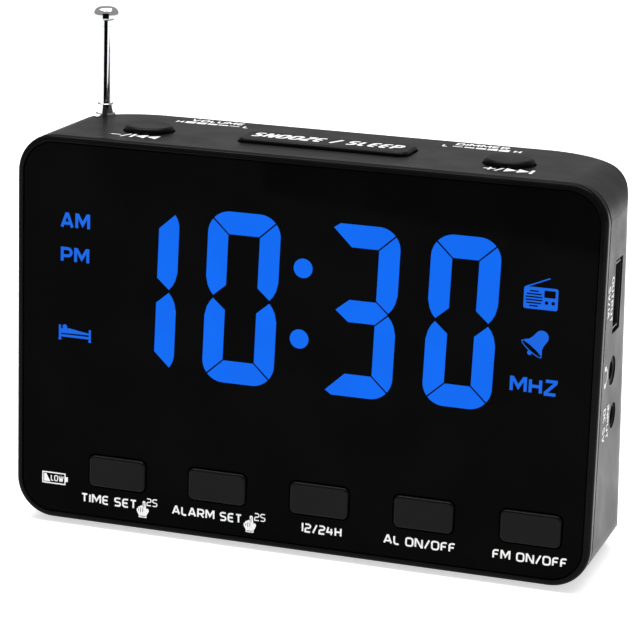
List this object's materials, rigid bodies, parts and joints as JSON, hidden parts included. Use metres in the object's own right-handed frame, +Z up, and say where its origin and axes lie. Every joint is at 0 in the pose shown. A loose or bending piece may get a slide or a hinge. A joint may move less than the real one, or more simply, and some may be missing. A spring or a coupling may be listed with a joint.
{
  "type": "clock radio",
  "caption": "Wedge-backed desk clock radio with a large lit segment display, front keys, snooze bar, side sockets and a telescopic rod antenna.",
  "frame": {"origin": "middle of the footprint, on the surface that the feet stand on", "axes": "+X to the right as the display is read, along the case's longest side; +Y to the back, along its shortest side; +Z up"},
  "size_m": [0.121, 0.044, 0.1037],
  "materials": {
    "bezel_plastic": "satin",
    "housing_plastic": "fine satin texture",
    "lens_gloss": "polished",
    "button_plastic": "satin",
    "wheel_plastic": "satin",
    "foot_rubber": "matte",
    "chrome_plate": "polished",
    "steel": "satin",
    "white_plastic": "matte",
    "lit_blue": "glowing",
    "led_body": "gloss",
    "board_green": "solder mask",
    "chip_black": "moulded",
    "can_sleeve": "sleeved can",
    "coil_copper": "wound wire",
    "socket_black": "moulded",
    "contact_gold": "plated",
    "cone_paper": "pressed fibre",
    "magnet_ferrite": "sintered",
    "cell_jacket": "printed sleeve",
    "wire_jacket": "insulation",
    "ribbon_grey": "flat cable"
  },
  "bodies": {
    "case": {"front_bezel": "bezel_plastic", "display_lens": "lens_gloss", "rear_housing": "housing_plastic", "rubber_feet": "foot_rubber", "case_screws": "steel", "display_board": "board_green", "display_reflector": "white_plastic", "display_segments": "lit_blue", "display_leds": "led_body", "front_switches": "socket_black", "main_board": "board_green", "board_screws": "steel", "control_chip": "chip_black", "tuner_chip": "chip_black", "amplifier_chip": "chip_black", "capacitors": "can_sleeve", "crystal": "steel", "tuning_coil": "coil_copper", "ribbon_cable": "ribbon_grey", "key_board": "board_green", "key_switches": "socket_black", "wheel_board": "board_green", "volume_pot": "steel", "dimmer_pot": "steel", "usb_socket": "steel", "usb_tongue": "socket_black", "usb_contacts": "contact_gold", "headphone_jack": "socket_black", "power_inlet": "socket_black", "inlet_pin": "contact_gold", "speaker_frame": "steel", "speaker_cone": "cone_paper", "speaker_magnet": "magnet_ferrite", "upper_cell": "cell_jacket", "lower_cell": "cell_jacket", "battery_contacts": "steel", "speaker_leads": "wire_jacket", "battery_leads": "wire_jacket", "antenna_lead": "wire_jacket", "antenna_bushing": "chrome_plate", "antenna_nut": "steel", "antenna_contact": "steel"},
    "time_set": {"time_set_button": "button_plastic"},
    "alarm_set": {"alarm_set_button": "button_plastic"},
    "hour_format": {"hour_format_button": "button_plastic"},
    "alarm_switch": {"alarm_button": "button_plastic"},
    "radio_switch": {"radio_button": "button_plastic"},
    "snooze": {"snooze_bar": "button_plastic"},
    "minus": {"minus_button": "button_plastic"},
    "plus": {"plus_button": "button_plastic"},
    "volume": {"volume_wheel": "wheel_plastic", "volume_shaft": "steel"},
    "dimmer": {"dimmer_wheel": "wheel_plastic", "dimmer_shaft": "steel"},
    "battery_cover": {"battery_door": "housing_plastic"},
    "antenna_outer": {"antenna_tube": "chrome_plate"},
    "antenna_middle": {"antenna_section_2": "chrome_plate"},
    "antenna_inner": {"antenna_section_3": "chrome_plate"},
    "antenna_core": {"antenna_rod": "chrome_plate", "antenna_tip": "chrome_plate"}
  },
  "joints": [
    {"name": "time_set_press", "type": "slide", "parent": "case", "child": "time_set", "axis": [0, 1, 0], "range_m": [0, 0.0008], "stiffness_N_per_m": 400, "springref_m": -0.0005},
    {"name": "alarm_set_press", "type": "slide", "parent": "case", "child": "alarm_set", "axis": [0, 1, 0], "range_m": [0, 0.0008], "stiffness_N_per_m": 400, "springref_m": -0.0005},
    {"name": "hour_format_press", "type": "slide", "parent": "case", "child": "hour_format", "axis": [0, 1, 0], "range_m": [0, 0.0008], "stiffness_N_per_m": 400, "springref_m": -0.0005},
    {"name": "alarm_switch_press", "type": "slide", "parent": "case", "child": "alarm_switch", "axis": [0, 1, 0], "range_m": [0, 0.0008], "stiffness_N_per_m": 400, "springref_m": -0.0005},
    {"name": "radio_switch_press", "type": "slide", "parent": "case", "child": "radio_switch", "axis": [0, 1, 0], "range_m": [0, 0.0008], "stiffness_N_per_m": 400, "springref_m": -0.0005},
    {"name": "snooze_press", "type": "slide", "parent": "case", "child": "snooze", "axis": [0, 0, -1], "range_m": [0, 0.0009], "stiffness_N_per_m": 500, "springref_m": -0.0005},
    {"name": "minus_press", "type": "slide", "parent": "case", "child": "minus", "axis": [0, 0, -1], "range_m": [0, 0.0008], "stiffness_N_per_m": 400, "springref_m": -0.0005},
    {"name": "plus_press", "type": "slide", "parent": "case", "child": "plus", "axis": [0, 0, -1], "range_m": [0, 0.0008], "stiffness_N_per_m": 400, "springref_m": -0.0005},
    {"name": "volume_turn", "type": "hinge", "parent": "case", "child": "volume", "pos_m": [-0.028, 0.00777, 0.0667], "axis": [0, 0, 1], "range_deg": [-135, 135]},
    {"name": "dimmer_turn", "type": "hinge", "parent": "case", "child": "dimmer", "pos_m": [0.028, 0.00777, 0.0667], "axis": [0, 0, 1], "range_deg": [-135, 135]},
    {"name": "battery_cover_release", "type": "slide", "parent": "case", "child": "battery_cover", "axis": [0, 0.9923, 0.124], "range_m": [0, 0.012]},
    {"name": "antenna_raise", "type": "slide", "parent": "case", "child": "antenna_outer", "axis": [0, 0, 1], "range_m": [-0.0159, 0.042]},
    {"name": "antenna_middle_slide", "type": "slide", "parent": "antenna_outer", "child": "antenna_middle", "axis": [0, 0, 1], "range_m": [0, 0.06]},
    {"name": "antenna_inner_slide", "type": "slide", "parent": "antenna_middle", "child": "antenna_inner", "axis": [0, 0, 1], "range_m": [0, 0.06]},
    {"name": "antenna_core_slide", "type": "slide", "parent": "antenna_inner", "child": "antenna_core", "axis": [0, 0, 1], "range_m": [0, 0.06]}
  ]
}
